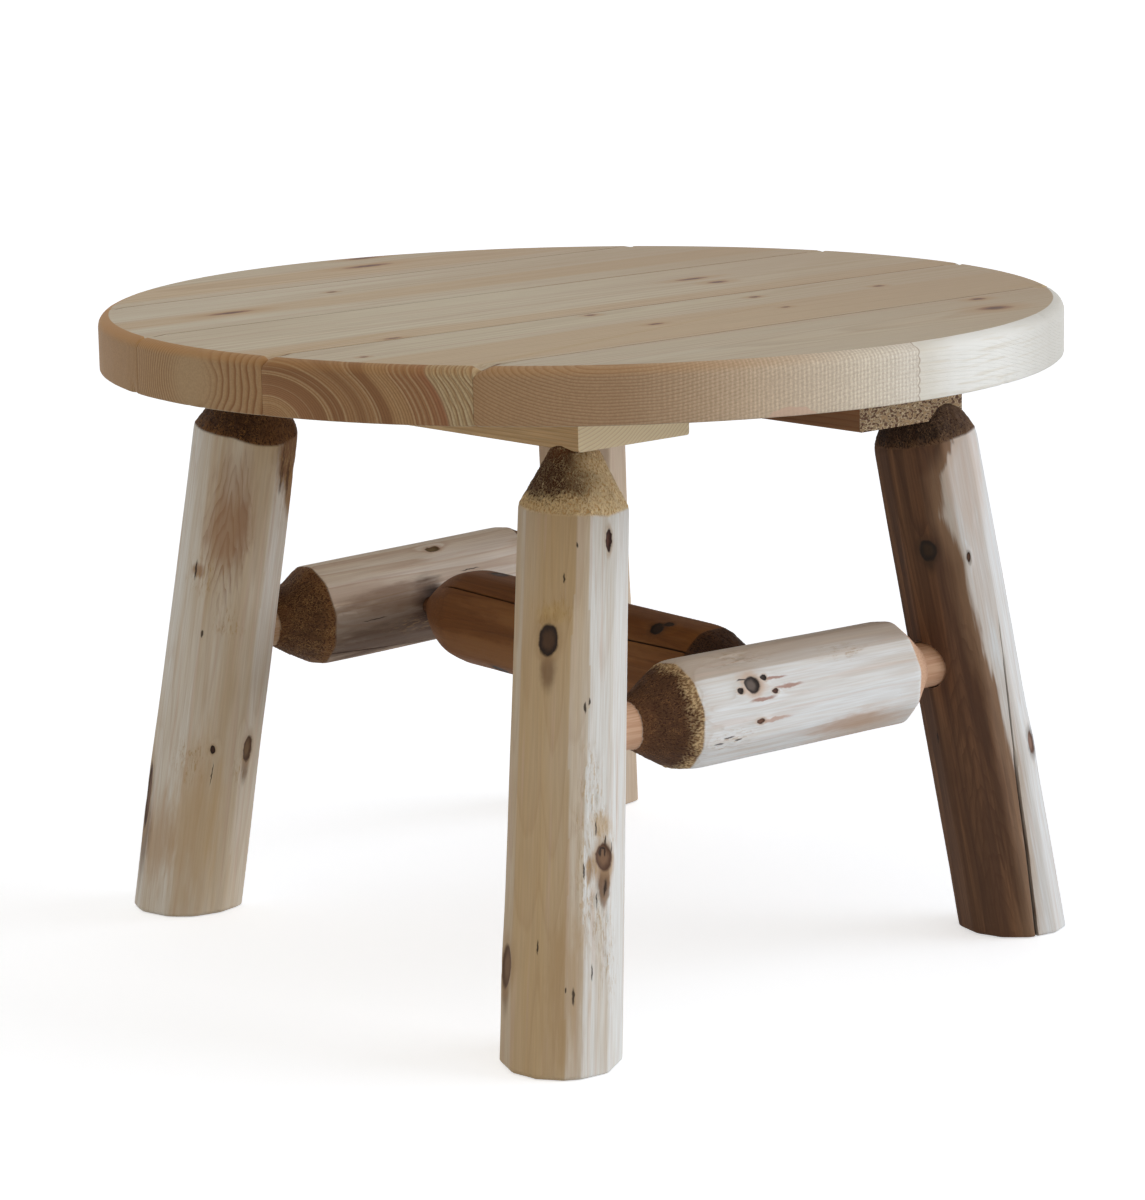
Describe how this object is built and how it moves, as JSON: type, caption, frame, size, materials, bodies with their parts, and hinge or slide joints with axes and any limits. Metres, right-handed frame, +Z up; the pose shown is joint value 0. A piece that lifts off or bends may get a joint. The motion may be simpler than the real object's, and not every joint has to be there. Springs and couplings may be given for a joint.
{
  "type": "rustic log low table",
  "caption": "Low round table with a disc of edge-joined planks on splayed peeled-log legs, tied by log stretchers with pencil-shaped tenon shoulders.",
  "frame": {"origin": "on the floor under the centre of the round top", "axes": "+Z up; +X along the planks to the right; +Y along the cleats to the back; the front is -Y"},
  "size_m": [0.68, 0.68, 0.45],
  "materials": {
    "plank_wood": "sanded softwood, unfinished",
    "cleat_wood": "planed softwood, unfinished",
    "leg_log": "peeled log, drawknifed, unfinished",
    "stretcher_log": "peeled log, drawknifed, unfinished",
    "cross_log": "peeled log with darker wood, unfinished",
    "dowel_wood": "plain hardwood dowel",
    "screw_steel": "zinc-plated countersunk screw"
  },
  "bodies": {
    "root": {"plank_1": "plank_wood", "plank_2": "plank_wood", "plank_3": "plank_wood", "plank_4": "plank_wood", "plank_5": "plank_wood", "cleat_left": "cleat_wood", "cleat_right": "cleat_wood", "leg_front_left": "leg_log", "leg_back_left": "leg_log", "leg_front_right": "leg_log", "leg_back_right": "leg_log", "stretcher_front": "stretcher_log", "stretcher_back": "stretcher_log", "stretcher_cross": "cross_log", "dowel_1_1": "dowel_wood", "dowel_1_2": "dowel_wood", "dowel_1_3": "dowel_wood", "dowel_2_1": "dowel_wood", "dowel_2_2": "dowel_wood", "dowel_2_3": "dowel_wood", "dowel_3_1": "dowel_wood", "dowel_3_2": "dowel_wood", "dowel_3_3": "dowel_wood", "dowel_4_1": "dowel_wood", "dowel_4_2": "dowel_wood", "dowel_4_3": "dowel_wood", "screw_left_1": "screw_steel", "screw_left_2": "screw_steel", "screw_left_3": "screw_steel", "screw_left_4": "screw_steel", "screw_left_5": "screw_steel", "screw_left_6": "screw_steel", "screw_left_7": "screw_steel", "screw_right_1": "screw_steel", "screw_right_2": "screw_steel", "screw_right_3": "screw_steel", "screw_right_4": "screw_steel", "screw_right_5": "screw_steel", "screw_right_6": "screw_steel", "screw_right_7": "screw_steel"}
  },
  "joints": []
}
